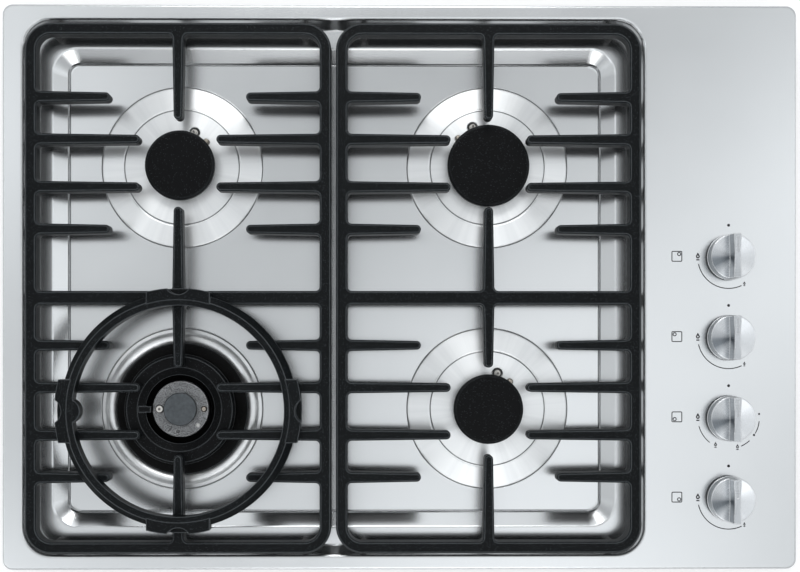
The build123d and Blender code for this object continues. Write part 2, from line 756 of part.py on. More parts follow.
bar_x = grate_w / 2 - bar_w / 2
bar_y = grate_d / 2 - bar_w / 2
foot_pitch_x = grate_w - 2 * foot_inset_x
foot_pitch_y = 2 * (bar_y - foot_inset_y)
rows = [burner_y + finger_shift, finger_shift - burner_y]
for side, centre_x in (("left", well_x - grate_x), ("right", well_x + grate_x)):
    with BuildPart() as grate:
        with BuildSketch(at(centre_x, grate_shift_y, grate_bottom)) as plan:
            RectangleRounded(grate_w, grate_d, grate_corner_r)
            RectangleRounded(grate_w - 2 * bar_w, grate_d - 2 * bar_w, grate_inner_r, mode=Mode.SUBTRACT)
            with Locations((0, crossbar_shift)):
                Rectangle(grate_w - bar_w, crossbar_w)
            for row in rows:
                for sx in (1, -1):
                    for sy in (1, -1):
                        yl = row + sy * finger_row_inner
                        add(finger((sx * bar_x, yl), (sx * long_tip, yl), (-sx, 0)))
                        ys = row + sy * finger_row_outer
                        add(finger((sx * bar_x, ys), (sx * short_tip, ys), (-sx, 0)))
            add(finger((0, bar_y), (0, rows[0] + end_tip), (0, -1)))
            add(finger((0, crossbar_shift), (0, rows[0] - end_tip), (0, 1)))
            add(finger((0, crossbar_shift), (0, rows[1] + end_tip), (0, -1)))
            add(finger((0, -bar_y), (0, rows[1] - end_tip), (0, 1)))
            inner_x = grate_w / 2 - bar_w
            inner_y = grate_d / 2 - bar_w
            low, high = crossbar_shift - crossbar_w / 2, crossbar_shift + crossbar_w / 2

            def at_root(v):
                px, py = v.X, v.Y  # a sketch counts from its own plane's origin
                on_side = abs(abs(px) - inner_x) < 0.05 and abs(py) < inner_y - grate_inner_r
                on_end = abs(abs(py) - inner_y) < 0.05 and abs(px) < inner_x - grate_inner_r - 1
                on_cross = min(abs(py - low), abs(py - high)) < 0.05 and abs(px) < inner_x
                return on_side or on_end or on_cross

            fillet(plan.vertices().filter_by(at_root), grate_fillet)
        extrude(amount=bar_h)
        chamfer(grate.faces().sort_by(Axis.Z)[-1].edges(), grate_edge)
    save(grate.part, f"grate_{side}")

    with BuildPart() as grate_feet:
        with BuildSketch(at(centre_x, grate_shift_y, ledge_top)):
            with GridLocations(foot_pitch_x, foot_pitch_y, 2, 2):
                Circle(foot_r)
        extrude(amount=grate_bottom - ledge_top)
        soles = grate_feet.faces().filter_by(Axis.Z).filter_by(lambda f: f.center().Z < ledge_top + 1)
        chamfer(soles.edges(), foot_edge)
    save(grate_feet.part, f"grate_feet_{side}")

# ---------------------------------------------------------------- wok ring
with BuildPart() as wok_ring:
    with BuildSketch(upright(ring_x, wok_y)):
        with BuildLine():
            Polyline(
                (ring_inner_r, grate_top),
                (ring_outer_r, grate_top),
                (ring_outer_r, ring_top - ring_outer_drop),
                (ring_ridge_r, ring_top),
                (ring_inner_r, ring_top - ring_band_drop),
                close=True,
            )
        make_face()
    revolve(axis=vertical(ring_x, wok_y))
    with BuildSketch(at(ring_x, wok_y, grate_top)):
        Circle(pad_r)
        Circle(ring_ridge_r - 1, mode=Mode.SUBTRACT)
        Rectangle(pad_w, 3 * pad_r, mode=Mode.INTERSECT)
    extrude(amount=ring_h)
    with BuildSketch(at(ring_x, wok_y, grate_top)):
        Circle(pad_r)
        Circle(ring_ridge_r - 1, mode=Mode.SUBTRACT)
        Rectangle(3 * pad_r, pad_w, mode=Mode.INTERSECT)
    extrude(amount=ring_h)
    # the bump on the inner side of the left pad
    scoop_r = (scoop_w**2 / 4 + scoop_depth**2) / (2 * scoop_depth)
    bulge_r = (scoop_w**2 / 4 + bulge_depth**2) / (2 * bulge_depth)
    with BuildSketch(at(ring_x, wok_y, grate_top)):
        with Locations((-ring_inner_r + bulge_depth - bulge_r, 0)):
            Circle(bulge_r)
        Circle(ring_ridge_r, mode=Mode.INTERSECT)
    extrude(amount=ring_h - ring_band_drop)
    # a hollow scooped out of the outer edge of each pad
    with BuildSketch(at(ring_x, wok_y, grate_top + scoop_floor)):
        with PolarLocations(pad_r - scoop_depth + scoop_r, 4):
            Circle(scoop_r)
    extrude(amount=ring_h, mode=Mode.SUBTRACT)
save(wok_ring.part, "wok_ring")

# ---------------------------------------------------------------- knobs, taps
with BuildPart() as knob_seals:
    with BuildSketch(at(knob_x, 0, flange_top)):
        with Locations(*[(0, y) for y in knob_rows]):
            Circle(seal_r)
        with Locations(*[(0, y) for y in knob_rows]):
            Circle(spindle_r + small_clear, mode=Mode.SUBTRACT)
    extrude(amount=seal_h)
save(knob_seals.part, "knob_seals")

for number, y in enumerate(knob_rows, start=1):
    with BuildPart() as tap:
        with BuildSketch(at(knob_x, y, tap_bottom)):
            RectangleRounded(tap_size, tap_size, tap_corner_r)
        extrude(amount=tap_top - tap_bottom)
        with BuildSketch(at(knob_x, y, tap_top)):
            Circle(neck_r)
        extrude(amount=neck_h)
        with BuildSketch(at(knob_x, y, plug_bottom)):
            Circle(plug_r)
        extrude(amount=plug_top - plug_bottom + small_clear, mode=Mode.SUBTRACT)
        with BuildSketch(at(knob_x, y, plug_top)):
            Circle(spindle_r + small_clear)
        extrude(amount=neck_h, mode=Mode.SUBTRACT)
        # the outlet on the burner side
        outlets = [tube_z, low_tube_z] if number == 3 else [tube_z]
        for z in outlets:
            outlet = Plane(origin=(knob_x - tap_size / 2, y, z), x_dir=(0, 1, 0), z_dir=(-1, 0, 0))
            with BuildSketch(outlet):
                Circle(outlet_r)
            extrude(amount=outlet_l)
    save(tap.part, f"tap_{number}")

    with BuildPart() as tap_plug:
        with BuildSketch(at(knob_x, y, plug_bottom)):
            Circle(plug_r - fit_clear)
        extrude(amount=plug_top - plug_bottom)
        with BuildSketch(at(knob_x, y, spindle_bottom - knob_push - spindle_end)):
            Circle(spindle_r + fit_clear)
        extrude(amount=plug_top, mode=Mode.SUBTRACT)
    save(tap_plug.part, f"tap_plug_{number}")

    with BuildPart() as spindle:
        with BuildSketch(at(knob_x, y, spindle_bottom)):
            Circle(spindle_r)
        extrude(amount=knob_face - spindle_end - spindle_bottom)
    save(spindle.part, f"spindle_{number}")

    with BuildPart() as knob:
        with BuildSketch(at(knob_x, y, knob_bottom)):
            Circle(knob_r + knob_lip)
        extrude(amount=knob_lip_h)
        with BuildSketch(at(knob_x, y, knob_bottom)):
            Circle(knob_r)
        extrude(amount=knob_h)
        fillet(knob.faces().sort_by(Axis.Z)[-1].edges(), knob_edge)
        with BuildSketch(at(knob_x, y, knob_bottom)):
            Circle(knob_r - knob_wall)
            Circle(boss_r, mode=Mode.SUBTRACT)
        extrude(amount=knob_h - knob_wall, mode=Mode.SUBTRACT)
        with BuildSketch(at(knob_x, y, knob_bottom)):
            Circle(boss_r)
        extrude(amount=knob_push + spindle_end, mode=Mode.SUBTRACT)
        with BuildSketch(at(knob_x, y, knob_face)):
            Circle(knob_r - grip_inset)
            Rectangle(grip_w, 3 * knob_r, mode=Mode.INTERSECT)
            waist_r = (knob_r**2 + grip_waist**2) / (2 * grip_waist)
            waist_x = grip_w / 2 - grip_waist / 2 + waist_r
            with Locations((waist_x, 0), (-waist_x, 0)):
                Circle(waist_r, mode=Mode.SUBTRACT)
        extrude(amount=grip_h)
        fillet(knob.faces().sort_by(Axis.Z)[-1].edges(), grip_edge)
        with BuildSketch(at(knob_x, y, knob_top)):
            with Locations((0, knob_r / 2)):
                SlotOverall(pointer_l, pointer_w, rotation=90)
        extrude(amount=-pointer_depth, mode=Mode.SUBTRACT)
        with BuildSketch(at(knob_x, y, knob_bottom)):
            Circle(spindle_r)
        extrude(amount=knob_h - spindle_end, mode=Mode.SUBTRACT)
    save(knob.part, f"knob_{number}")

# ---------------------------------------------------------------- gas rail, inlet, tubes
rail_start = knob_rows[3] - tap_size / 2
rail_end = inlet_y + rail_size
with BuildPart() as gas_rail:
    with BuildSketch(Plane(origin=(rail_x, rail_start, rail_z), x_dir=(-1, 0, 0), z_dir=(0, 1, 0))):
        RectangleRounded(rail_size, rail_size, rail_corner_r)
        Circle(rail_bore_r, mode=Mode.SUBTRACT)
    extrude(amount=rail_end - rail_start)
save(gas_rail.part, "gas_rail")

with BuildPart() as gas_inlet:
    with BuildSketch(at(inlet_x, inlet_y, inlet_bottom)):
        Circle(inlet_r)
    extrude(amount=inlet_thread_l)
    with BuildSketch(at(inlet_x, inlet_y, inlet_bottom + inlet_thread_l)):
        Circle(inlet_neck_r)
    extrude(amount=notch_h + box_sheet - inlet_bottom - inlet_thread_l)
    with BuildSketch(at(inlet_x, inlet_y, notch_h + box_sheet)):
        RegularPolygon(inlet_nut_r, 6)
    extrude(amount=rail_z - rail_size / 2 - notch_h - box_sheet)
    with BuildSketch(at(inlet_x, inlet_y, inlet_bottom)):
        Circle(inlet_bore_r)
    extrude(amount=rail_z, mode=Mode.SUBTRACT)
save(gas_inlet.part, "gas_inlet")


def gas_tube(points, z):
    """A bent tube that lies level at height z."""
    with BuildPart() as tube:
        with BuildLine(at(0, 0, z)) as route:
            FilletPolyline(*points, radius=tube_bend_r)
        with BuildSketch(Plane(origin=route.line @ 0, z_dir=route.line % 0)):
            Circle(tube_r)
            Circle(tube_bore_r, mode=Mode.SUBTRACT)
        sweep(path=route.line)
    return tube.part


stub_reach = stub_l - hole_inset - cup_inset  # end of a stub, outside the cap's edge
semi_end = well_x + burner_x + semi_cap_r + stub_reach
rapid_end = well_x + burner_x + rapid_cap_r + stub_reach
left_end = well_x - burner_x + semi_cap_r + stub_reach
wok_end = wok_x + wok_cup_r + stub_l
rear_right_route = [
    (tube_start, knob_rows[0]), (riser_x, knob_rows[0]), (riser_x, burner_y), (rapid_end, burner_y),
]
rear_left_route = [
    (tube_start, knob_rows[1]), (left_riser_x, knob_rows[1]), (left_riser_x, burner_y), (left_end, burner_y),
]
front_right_route = [
    (tube_start, knob_rows[3]), (riser_x, knob_rows[3]), (riser_x, -burner_y), (semi_end, -burner_y),
]
wok_route = [
    (tube_start, knob_rows[2]), (wok_riser_x, knob_rows[2]), (wok_riser_x, wok_lane),
    (left_riser_x, wok_lane), (left_riser_x, wok_y), (wok_end, wok_y),
]
save(gas_tube(rear_right_route, tube_z), "gas_tube_rear_right")
save(gas_tube(rear_left_route, tube_z), "gas_tube_rear_left")
save(gas_tube(front_right_route, tube_z), "gas_tube_front_right")
with BuildPart() as wok_tubes:
    add(gas_tube(wok_route, tube_z))
    add(gas_tube(wok_route, low_tube_z))
save(wok_tubes.part, "gas_tubes_wok")

# injectors stand in the cups
with BuildPart() as injectors:
    spots = [(x, y) for x, y, *rest in burners.values()]
    spots += [(wok_x, wok_y), (wok_x + (wok_core_r + wok_cup_r) / 2, wok_y)]
    with BuildSketch(at(0, 0, cup_bottom + cup_wall)):
        with Locations(*spots):
            RegularPolygon(injector_r, 6)
    extrude(amount=injector_h)
save(injectors.part, "injectors")

# ---------------------------------------------------------------- electrics
module_x = knob_x - module_from_knob_x
module_y = knob_rows[0] + module_from_knob_y
with BuildPart() as ignition_module:
    with BuildSketch(at(module_x, module_y, box_sheet)):
        RectangleRounded(module_w, module_d, module_corner_r)
    extrude(amount=module_h)
    fillet(ignition_module.faces().sort_by(Axis.Z)[-1].edges(), module_edge)
    with BuildSketch(at(module_x, module_y, box_sheet + module_h)):
        with GridLocations(0, module_post_pitch, 1, 4):
            Circle(module_post_r)
    extrude(amount=module_post_h)
save(ignition_module.part, "ignition_module")


def rear_wall(y):
    """A plane that faces the rear, centred on the cable gland."""
    return Plane(origin=(gland_x, y, gland_z), x_dir=(-1, 0, 0), z_dir=(0, 1, 0))


def side_wall(x):
    """A plane that faces left or right at the height of the clamp screws."""
    return Plane(origin=(x, 0, clamp_screw_z), x_dir=(0, 1, 0), z_dir=(1, 0, 0))


terminal_rear = terminal_y + terminal_d / 2
with BuildPart() as terminal_box:
    with BuildSketch(at(gland_x, terminal_y, box_sheet)):
        RectangleRounded(terminal_w, terminal_d, terminal_corner_r)
    extrude(amount=terminal_h)
    with BuildSketch(at(gland_x, terminal_y, box_sheet + terminal_h)):
        RectangleRounded(terminal_w + terminal_lid, terminal_d + terminal_lid, terminal_corner_r)
    extrude(amount=terminal_lid)
    with BuildSketch(rear_wall(terminal_rear)):
        Circle(gland_bore_r)
    extrude(amount=-terminal_bore, mode=Mode.SUBTRACT)
save(terminal_box.part, "terminal_box")

with BuildPart() as cable_gland:
    with BuildSketch(rear_wall(terminal_rear)):
        Circle(gland_r - small_clear)
    extrude(amount=terminal_gap + box_sheet)
    with BuildSketch(rear_wall(box_d / 2)):
        RegularPolygon(gland_nut_r, 6)
    extrude(amount=gland_nut_h)
    with BuildSketch(rear_wall(terminal_rear)):
        Circle(gland_bore_r)
    extrude(amount=terminal_gap + box_sheet + gland_nut_h, mode=Mode.SUBTRACT)
save(cable_gland.part, "cable_gland")

# ---------------------------------------------------------------- clamps and screws
with BuildPart() as clamps:
    for side in (1, -1):
        for y in (clamp_y, -clamp_y):
            x0 = side * box_w / 2
            front = Plane(origin=(x0, y + clamp_w / 2, 0), x_dir=(side, 0, 0), z_dir=(0, -side, 0))
            with BuildSketch(front):
                with BuildLine():
                    Polyline(
                        (0, clamp_low),
                        (clamp_t, clamp_low),
                        (clamp_t, clamp_high - clamp_t),
                        (clamp_reach, clamp_high - clamp_t),
                        (clamp_reach, clamp_high),
                        (0, clamp_high),
                        close=True,
                    )
                make_face()
            extrude(amount=clamp_w if side == 1 else -clamp_w)
    with BuildSketch(side_wall(0)):
        with Locations((-clamp_y, 0), (clamp_y, 0)):
            Circle(clamp_screw_r)
    extrude(amount=box_w, both=True, mode=Mode.SUBTRACT)
save(clamps.part, "worktop_clamps")

with BuildPart() as screws:
    for side in (1, -1):
        with BuildSketch(side_wall(side * (box_w / 2 - screw_tail))):
            with Locations((-clamp_y, 0), (clamp_y, 0)):
                Circle(clamp_screw_r - screw_fit)
        extrude(amount=side * (screw_tail + clamp_t))
        with BuildSketch(side_wall(side * (box_w / 2 + clamp_t))):
            with Locations((-clamp_y, 0), (clamp_y, 0)):
                Circle(screw_head_r)
        extrude(amount=side * screw_head_h)
    # the one that holds the core of the wok burner
    with BuildSketch(at(wok_x + screw[0], wok_y + screw[1], wok_core_top)):
        Circle(clamp_screw_r - screw_fit)
    extrude(amount=-wok_pocket)
save(screws.part, "screws")
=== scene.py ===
# %% [markdown]
# # A gas cooktop with four burners
# The object is a built-in gas cooktop, 76 cm wide, seen from straight above. A pressed steel
# top with a sunken well carries the burners, two cast grates and a loose wok ring lie on it,
# and four knobs stand on the right. All of these exist as exact solids. What is left to do
# here is what solids do not have: the finish of every surface, the printing on the control
# panel, the small details that a maker adds last, and the light and camera of the photograph.

# %% Load the solids
import math

import bmesh
import bpy
from mathutils import Matrix, Vector


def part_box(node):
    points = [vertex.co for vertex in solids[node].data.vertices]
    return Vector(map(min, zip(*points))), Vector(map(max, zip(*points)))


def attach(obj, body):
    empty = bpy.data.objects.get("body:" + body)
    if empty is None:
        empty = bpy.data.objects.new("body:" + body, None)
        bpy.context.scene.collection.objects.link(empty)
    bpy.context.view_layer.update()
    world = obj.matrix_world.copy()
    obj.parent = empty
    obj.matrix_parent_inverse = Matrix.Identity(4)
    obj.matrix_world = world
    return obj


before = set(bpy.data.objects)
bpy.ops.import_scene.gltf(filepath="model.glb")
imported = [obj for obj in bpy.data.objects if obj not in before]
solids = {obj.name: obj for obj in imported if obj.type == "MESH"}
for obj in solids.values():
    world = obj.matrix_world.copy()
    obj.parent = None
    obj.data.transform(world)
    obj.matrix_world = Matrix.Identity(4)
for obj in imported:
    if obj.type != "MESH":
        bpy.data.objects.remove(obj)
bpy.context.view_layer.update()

# %% [markdown]
# ## Places that several steps share
# The finish of a pressed disc turns round the middle of its burner, and the printing stands
# round the axis of each knob. Both could be typed in as numbers, but then they would be wrong
# as soon as a solid moved. It is safer to measure the solids: the middle of a burner is the
# middle of its cap's box, and the axis of a knob is the middle of its spindle's box.


# %% Measure the burners, the knobs and the panel
def middle_of(node):
    low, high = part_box(node)
    return (low + high) / 2


burners = {
    "rear_left": middle_of("burner_cap_rear_left"),
    "rear_right": middle_of("burner_cap_rear_right"),
    "front_right": middle_of("burner_cap_front_right"),
    "wok": middle_of("wok_centre_cap"),
}
knobs = [middle_of(f"spindle_{number}") for number in (1, 2, 3, 4)]
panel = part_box("knob_seals")[0].z
print("panel height", round(panel, 4), "knob axes", [(round(k.x, 4), round(k.y, 4)) for k in knobs])

# %% [markdown]
# ## Writing materials in few lines
# A material in Blender is a small graph of nodes that ends in a Principled BSDF. Building such
# a graph by hand in code is long, so short helpers do it: one starts a material, one adds a
# node and plugs its inputs, two do sums, on numbers and on vectors, and the others are the
# steps that several finishes share. Every pattern reads Object coordinates, which are metres
# here, so a scale of 1000 means detail of a millimetre.


# %% Helpers for materials
def finish_of(name, colour, roughness, metallic=0.0, **more):
    """Start a material: its nodes, its Principled BSDF and the place on the object."""
    material = bpy.data.materials.new(name)
    material.use_nodes = True
    skin = material.node_tree.nodes["Principled BSDF"]
    skin.inputs["Base Color"].default_value = (*colour, 1)
    skin.inputs["Roughness"].default_value = roughness
    skin.inputs["Metallic"].default_value = metallic
    for socket, value in more.items():
        skin.inputs[socket.replace("_", " ")].default_value = value
    place = material.node_tree.nodes.new("ShaderNodeTexCoord").outputs["Object"]
    return material, skin, place


def plug(material, socket, value):
    """Give an input a value, or link another node's output to it."""
    if isinstance(value, bpy.types.NodeSocket):
        material.node_tree.links.new(value, socket)
    else:
        socket.default_value = value


def texture(material, kind, output, **inputs):
    """Add a node, plug its inputs by name and return one of its outputs."""
    node = material.node_tree.nodes.new("ShaderNode" + kind)
    for name, value in inputs.items():
        plug(material, node.inputs[name.replace("_", " ")], value)
    return node.outputs[output]


def calc(material, operation, a, b=0.0):
    """A sum on numbers."""
    node = material.node_tree.nodes.new("ShaderNodeMath")
    node.operation = operation
    plug(material, node.inputs[0], a)
    plug(material, node.inputs[1], b)
    return node.outputs[0]


def calc_vector(material, operation, a, b=(0, 0, 0), output=0):
    """A sum on vectors."""
    node = material.node_tree.nodes.new("ShaderNodeVectorMath")
    node.operation = operation
    plug(material, node.inputs[0], a)
    plug(material, node.inputs["Scale"] if operation == "SCALE" else node.inputs[1], b)
    return node.outputs[output]


def between(material, value, low, high):
    """Turn a pattern from 0..1 into low..high."""
    return texture(material, "MapRange", "Result", Value=value, To_Min=low, To_Max=high)


def blend_colours(material, share, first, second):
    """Mix two colours: share 0 gives the first, share 1 the second."""
    node = material.node_tree.nodes.new("ShaderNodeMix")
    node.data_type = "RGBA"
    plug(material, node.inputs[0], share)
    plug(material, node.inputs[6], first)
    plug(material, node.inputs[7], second)
    return node.outputs[2]


def grain(material, place, scale, detail=3.0, roughness=0.5):
    """A cloudy noise; scale is one number, or three for a noise that is stretched."""
    if not isinstance(scale, (int, float)):
        place = calc_vector(material, "MULTIPLY", place, scale)
        scale = 1.0
    return texture(material, "TexNoise", 0, Vector=place, Scale=scale, Detail=detail, Roughness=roughness)


def relief(material, skin, height, depth, strength=1.0, edges=None):
    """Small hills on the surface; depth is in metres. Edges may be rounded first."""
    bump = material.node_tree.nodes.new("ShaderNodeBump")
    for name, value in (("Height", height), ("Distance", depth), ("Strength", strength), ("Normal", edges)):
        if value is not None:
            plug(material, bump.inputs[name], value)
    plug(material, skin.inputs["Normal"], bump.outputs["Normal"])


def round_edges(material, radius):
    """Light turns over an edge as if it had this radius; also how near an edge a point is."""
    rounded = texture(material, "Bevel", "Normal", Radius=radius)
    flat = material.node_tree.nodes.new("ShaderNodeNewGeometry").outputs["True Normal"]
    return rounded, calc(material, "SUBTRACT", 1, calc_vector(material, "DOT_PRODUCT", rounded, flat, output=1))


def dress(material, *names):
    """Give the material to the named solids, in place of the plain one they came with."""
    for name in names:
        data = solids[name].data
        data.materials.clear()
        data.materials.append(material)
    print(material.name, "on", len(names), "solids")


# %% [markdown]
# ## Satin stainless steel
# The top is a stainless sheet, ground to a fine satin and pressed. Round each burner the
# pressed disc is turned smooth, and light runs over it in bright and dark rays, as on the
# bottom of a pan. Painted rays alone would look wrong from the side, so the real cause is
# here too: a very fine circular grain, which spreads a reflection across the grain and not
# along it. The Anisotropic input does just that: its Tangent is the direction of the spread,
# so on a disc it points away from the middle, and on the flat sheet it points across the
# grain. Rays of painted highlight and shade lie in the discs' colour as well, the discs are
# painted lighter overall as a painted sheen, and a dark line of painted shade runs along the
# steep side of each pressed line.


# %% Steel of the top, with its turned discs
def spun_field(material, place, spots):
    """The vector from the middle of the disc that a point lies on, and 1 on the discs."""
    away, share = None, None
    for x, y, radius in spots:
        flat = calc_vector(material, "MULTIPLY", calc_vector(material, "SUBTRACT", place, (x, y, 0)), (1, 1, 0))
        inside = calc(material, "LESS_THAN", calc_vector(material, "LENGTH", flat, output=1), radius)
        flat = calc_vector(material, "SCALE", flat, inside)
        away = flat if away is None else calc_vector(material, "ADD", away, flat)
        share = inside if share is None else calc(material, "ADD", share, inside)
    return away, share


satin, skin, place = finish_of("satin_steel", (0.66, 0.68, 0.69), 0.2, 1.0, Anisotropic=0.72)
disc_radius, bead_radius = 0.0784, 0.0788
spots = [(*burners[spot].xy, disc_radius) for spot in ("rear_left", "rear_right", "front_right")]
spots.append((*burners["wok"].xy, bead_radius))
away, on_disc = spun_field(satin, place, spots)
on_sheet = calc(satin, "SUBTRACT", 1, on_disc)
outward = calc_vector(satin, "NORMALIZE", away)
across = calc_vector(satin, "SCALE", (1, 0, 0), on_sheet)
plug(satin, skin.inputs["Tangent"], calc_vector(satin, "ADD", outward, across))

sheet_grain = grain(satin, place, (2600, 40, 2600), 2)
distance = calc_vector(satin, "LENGTH", away, output=1)
turned_grain = grain(satin, calc_vector(satin, "SCALE", (1, 0, 0), distance), 3000, 2)
fine = calc(satin, "ADD", calc(satin, "MULTIPLY", sheet_grain, on_sheet),
            calc(satin, "MULTIPLY", turned_grain, on_disc))

# The floor of the well is a rounded rectangle: how far a point lies outside a plain rectangle,
# less the radius of the corners, is its distance from that outline.
floor_middle, floor_half, corner_radius = (-0.0635, 0, 0), (0.2475, 0.2068, 0), 0.0095
from_middle = calc_vector(satin, "SUBTRACT", place, floor_middle)
flat_from_middle = calc_vector(satin, "MULTIPLY", from_middle, (1, 1, 0))
out_of_floor = calc_vector(satin, "SUBTRACT", calc_vector(satin, "ABSOLUTE", flat_from_middle), floor_half)
beyond = calc_vector(satin, "MAXIMUM", out_of_floor, (0, 0, 0))
rim = calc(satin, "SUBTRACT", calc_vector(satin, "LENGTH", beyond, output=1), corner_radius)

# A pressed line has a steep inner side and a shallow outer one, given by a bump; a dark line of painted shade lies in
# the colour along the steep side.
outer_line_radius, inner_line_radius = 0.0781, 0.0556
line_height, painted_line_shade = 0.0, 0.0
for gap in (rim, calc(satin, "SUBTRACT", distance, outer_line_radius),
            calc(satin, "SUBTRACT", distance, inner_line_radius)):
    steep = texture(satin, "MapRange", "Result", Value=gap,
                    From_Min=-0.0005, From_Max=0.0004, To_Min=0, To_Max=-1)
    back = texture(satin, "MapRange", "Result", Value=gap,
                   From_Min=0.0004, From_Max=0.0019, To_Min=0, To_Max=1)
    line_height = calc(satin, "ADD", line_height, calc(satin, "ADD", steep, back))
    near_line = calc(satin, "LESS_THAN", calc(satin, "ABSOLUTE", calc(satin, "ADD", gap, 0.0002)), 0.0006)
    painted_line_shade = calc(satin, "MAXIMUM", painted_line_shade, near_line)
pressed = texture(satin, "Bump", "Normal", Height=line_height, Distance=0.0005, Strength=1.0,
                  Normal=round_edges(satin, 0.0015)[0])
relief(satin, skin, fine, 0.00002, 0.2, pressed)

# painted highlight and shade: rays of lighter and darker colour round each disc's middle
painted_rays = grain(satin, calc_vector(satin, "SCALE", outward, 4.0), 1.0, 3, 0.6)
cloud = grain(satin, place, 9, 4)
tone = calc(satin, "ADD", between(satin, cloud, -0.12, 0.12),
            calc(satin, "MULTIPLY", between(satin, painted_rays, -0.5, 0.5), on_disc))
# painted sheen: the discs' colour is lighter than the flat sheet's
painted_disc_sheen = calc(satin, "MULTIPLY", 0.3, on_disc)
steel_colour = blend_colours(satin, calc(satin, "ADD", calc(satin, "ADD", 0.6, painted_disc_sheen), tone),
                             (0.52, 0.54, 0.56, 1), (0.88, 0.895, 0.9, 1))
# painted shade: a near-black line along each pressed line
plug(satin, skin.inputs["Base Color"],
     blend_colours(satin, calc(satin, "MULTIPLY", painted_line_shade, 0.6), steel_colour, (0.05, 0.055, 0.06, 1)))
patchy = calc(satin, "ADD", between(satin, fine, 0.0, 0.05), between(satin, cloud, 0.16, 0.22))
plug(satin, skin.inputs["Roughness"], calc(satin, "ADD", patchy, calc(satin, "MULTIPLY", 0.12, on_disc)))
dress(satin, "top_plate")

# %% [markdown]
# ## Black enamel
# The grates, the wok ring and the burner caps are iron and steel under black enamel. Enamel
# is glass, so it is dark, slightly glossy and a little uneven, and fine pale specks lie in it.
# Small hills in the relief break the gloss up. The specks are Voronoi cells: the middle of a
# cell is a speck, and a draw of lots keeps only a share of them. Near an edge the colour is
# paler: the enamel is thinner there, and the pale line is mostly a painted highlight. The
# grates are a touch bluer and rougher than the caps.


# %% Enamel of the grates, the ring and the caps
speck_scale = 1050


def enamel(name, colour, speck_colour, roughness, share):
    material, skin, place = finish_of(name, colour, roughness, IOR=1.2)
    cell = texture(material, "TexVoronoi", "Distance", Vector=place, Scale=speck_scale)
    cell_colour = texture(material, "TexVoronoi", "Color", Vector=place, Scale=speck_scale)
    lot = texture(material, "SeparateColor", "Red", Color=cell_colour)
    speck = calc(material, "MULTIPLY", calc(material, "LESS_THAN", cell, 0.33),
                 calc(material, "LESS_THAN", lot, share))
    shade = blend_colours(material, grain(material, place, 60, 3), (*[c * 0.7 for c in colour], 1),
                          (*[c * 1.4 for c in colour], 1))
    edges, near = round_edges(material, 0.0014)
    # painted highlight: a pale line along every edge
    painted_edge_highlight = blend_colours(material, calc(material, "MULTIPLY", near, 9), shade, (0.16, 0.175, 0.185, 1))
    plug(material, skin.inputs["Base Color"], blend_colours(material, speck, painted_edge_highlight, (*speck_colour, 1)))
    plug(material, skin.inputs["Roughness"],
         between(material, grain(material, place, 420, 2), roughness - 0.08, roughness + 0.1))
    relief(material, skin, grain(material, place, 900, 3, 0.6), 0.0002, 0.45, edges)
    return material


grate_enamel = enamel("grate_enamel", (0.0045, 0.0058, 0.0066), (0.045, 0.05, 0.055), 0.45, 0.25)
dress(grate_enamel, "grate_left", "grate_right", "wok_ring")
cap_enamel = enamel("cap_enamel", (0.0025, 0.003, 0.0035), (0.04, 0.045, 0.05), 0.35, 0.14)
dress(cap_enamel, "burner_cap_rear_left", "burner_cap_rear_right", "burner_cap_front_right", "wok_ring_cap",
      "wok_flame_ring")
dress(enamel("base_enamel", (0.002, 0.002, 0.0022), (0.02, 0.022, 0.024), 0.5, 0.1), "wok_base")

# %% [markdown]
# ## Cast and turned parts of the burners
# Flame rings and burner bases are cast aluminium: grey, dull and slightly pitted. The core of
# the wok burner is the roughest of them, since the flame runs over it. Its small centre cap is
# smooth dark metal. One helper makes a casting; how rough and how dark it is are its inputs,
# and so are the colour painted on its edges and how much darker its pits are, where it has
# them. On the core the pale edges are a painted highlight; the centre cap's edges are painted
# near black.


# %% Castings
def casting(name, colour, roughness, pits, depth, lift=1.4, painted_edge_colour=None, pit_darkening=0.0):
    material, skin, place = finish_of(name, colour, roughness, 1.0)
    lumps = grain(material, place, pits, 5, 0.65)
    stains = grain(material, place, pits / 6, 4, 0.6)
    tone = blend_colours(material, stains, (*[c * 0.55 for c in colour], 1),
                         (*[min(1, c * lift) for c in colour], 1))
    edges = None
    if painted_edge_colour:
        edges, near = round_edges(material, 0.0009)
        # the low spots of the bump are made darker
        darker_pits = texture(material, "MapRange", "Result", Value=lumps,
                        From_Min=0.54, From_Max=0.42, To_Min=0, To_Max=pit_darkening)
        tone = blend_colours(material, darker_pits, tone, (0.02, 0.02, 0.022, 1))
        # the edge colour is painted on: a painted highlight on the wok core, near black on the centre cap
        tone = blend_colours(material, calc(material, "MULTIPLY", near, 7), tone, (*painted_edge_colour, 1))
    plug(material, skin.inputs["Base Color"], tone)
    plug(material, skin.inputs["Roughness"], between(material, lumps, roughness - 0.12, roughness + 0.15))
    relief(material, skin, lumps, depth, 0.7, edges)
    return material


cast_aluminium = casting("cast_aluminium", (0.40, 0.40, 0.40), 0.5, 700, 0.0002)
dress(cast_aluminium, *[n for n in solids if n.startswith(("burner_base", "flame_ring"))])
core_casting = casting("core_casting", (0.2, 0.205, 0.21), 0.3, 900, 0.0012, 2.2, (0.95, 0.96, 0.97), 0.75)
dress(core_casting, "wok_core")
centre_metal = casting("centre_metal", (0.10, 0.11, 0.118), 0.32, 1500, 0.00002, 1.4, (0.004, 0.004, 0.005))
dress(centre_metal, "wok_centre_cap")

# %% [markdown]
# ## Electrodes and flame sensors
# An ignition electrode is a white ceramic pin in a dark bush, with a steel wire in it. The solid
# is one piece, so the materials are told apart by height, where steel starts at the end of the
# ceramic neck, and by the distance from the pin's own axis, where the bush starts. The
# flame sensor is a steel tube that the flame has tanned.


# %% Ceramic with a steel tip, tanned steel
pin_radius = 0.0031
tip_height, wok_tip_height = 0.0031, 0.0013


